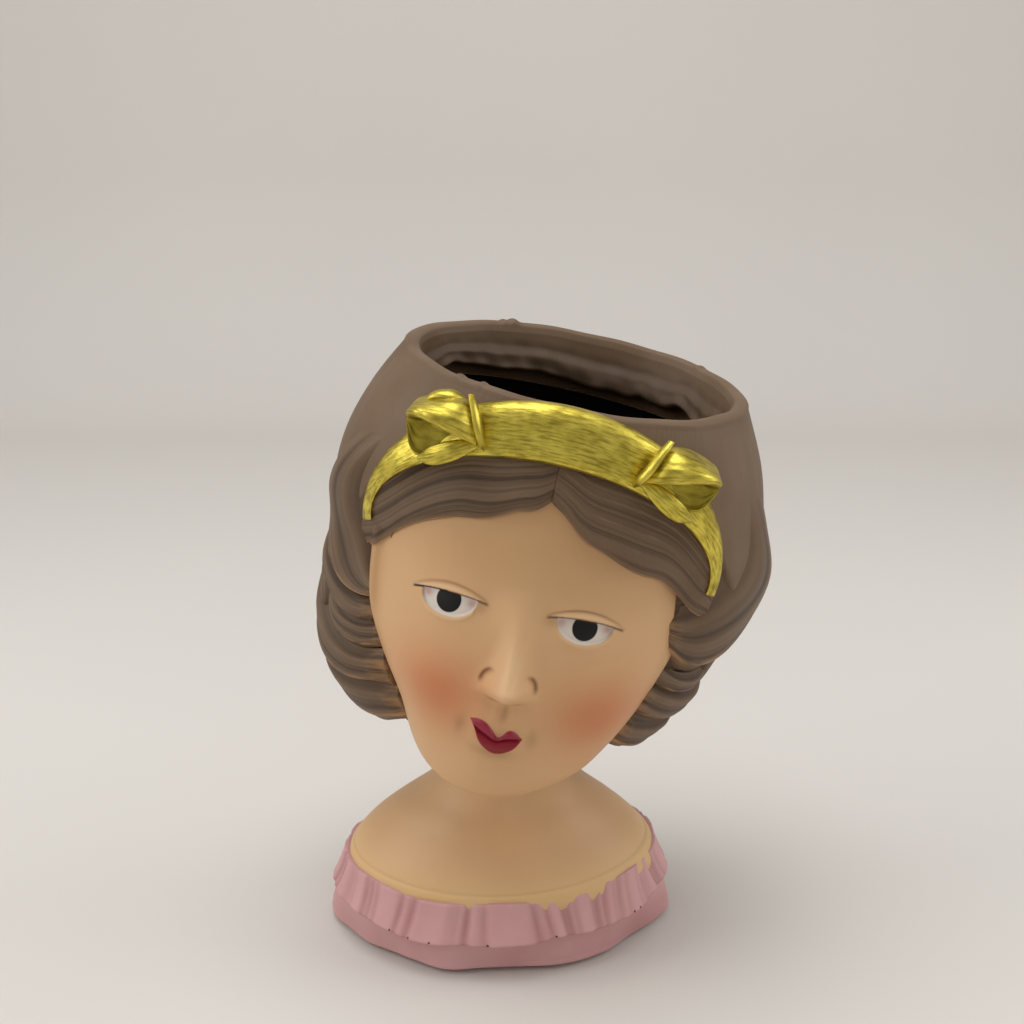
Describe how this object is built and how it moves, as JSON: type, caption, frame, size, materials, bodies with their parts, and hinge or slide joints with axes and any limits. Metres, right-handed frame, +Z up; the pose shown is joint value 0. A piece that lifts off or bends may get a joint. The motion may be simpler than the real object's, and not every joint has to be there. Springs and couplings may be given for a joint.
{
  "type": "head planter",
  "caption": "Small cast resin planter in the form of a doll-like girl's bust with bobbed hair, gold headband and bow, pink off-shoulder ruffle and an open head for a plant.",
  "frame": {"origin": "on the table, under the middle of the base, on the lower face of the non-slip pad", "axes": "+Z up, the face looks towards -Y, +X to the right as seen from the front"},
  "size_m": [0.1086, 0.093, 0.1504],
  "materials": {
    "painted_skin": "matte hand-painted resin",
    "painted_hair": "matte dry-brushed resin",
    "gold_leaf": "metallic gold paint on resin",
    "painted_pink": "matte hand-painted resin",
    "bare_resin": "bare cast resin",
    "foam_rubber": "non-slip foam",
    "plug_rubber": "moulded rubber"
  },
  "bodies": {
    "planter": {"head_pot": "painted_skin", "bust": "painted_skin", "hair_cap": "painted_hair", "fringe_left": "painted_hair", "fringe_right": "painted_hair", "curl_left_1": "painted_hair", "curl_left_2": "painted_hair", "curl_left_3": "painted_hair", "curl_left_4": "painted_hair", "curl_right_1": "painted_hair", "curl_right_2": "painted_hair", "curl_right_3": "painted_hair", "curl_right_4": "painted_hair", "headband": "gold_leaf", "bow_loop_left": "gold_leaf", "bow_loop_right": "gold_leaf", "bow_knot_left": "gold_leaf", "bow_knot_right": "gold_leaf", "bow_tail_left": "gold_leaf", "bow_tail_right": "gold_leaf", "dress_base": "painted_pink", "dress_ruffle": "painted_pink", "base_plate": "bare_resin", "base_pad": "foam_rubber"},
    "plug": {"drain_plug": "plug_rubber"}
  },
  "joints": [
    {"name": "plug_pull", "type": "slide", "parent": "planter", "child": "plug", "axis": [0, 0, -1], "range_m": [0, 0.012]}
  ]
}
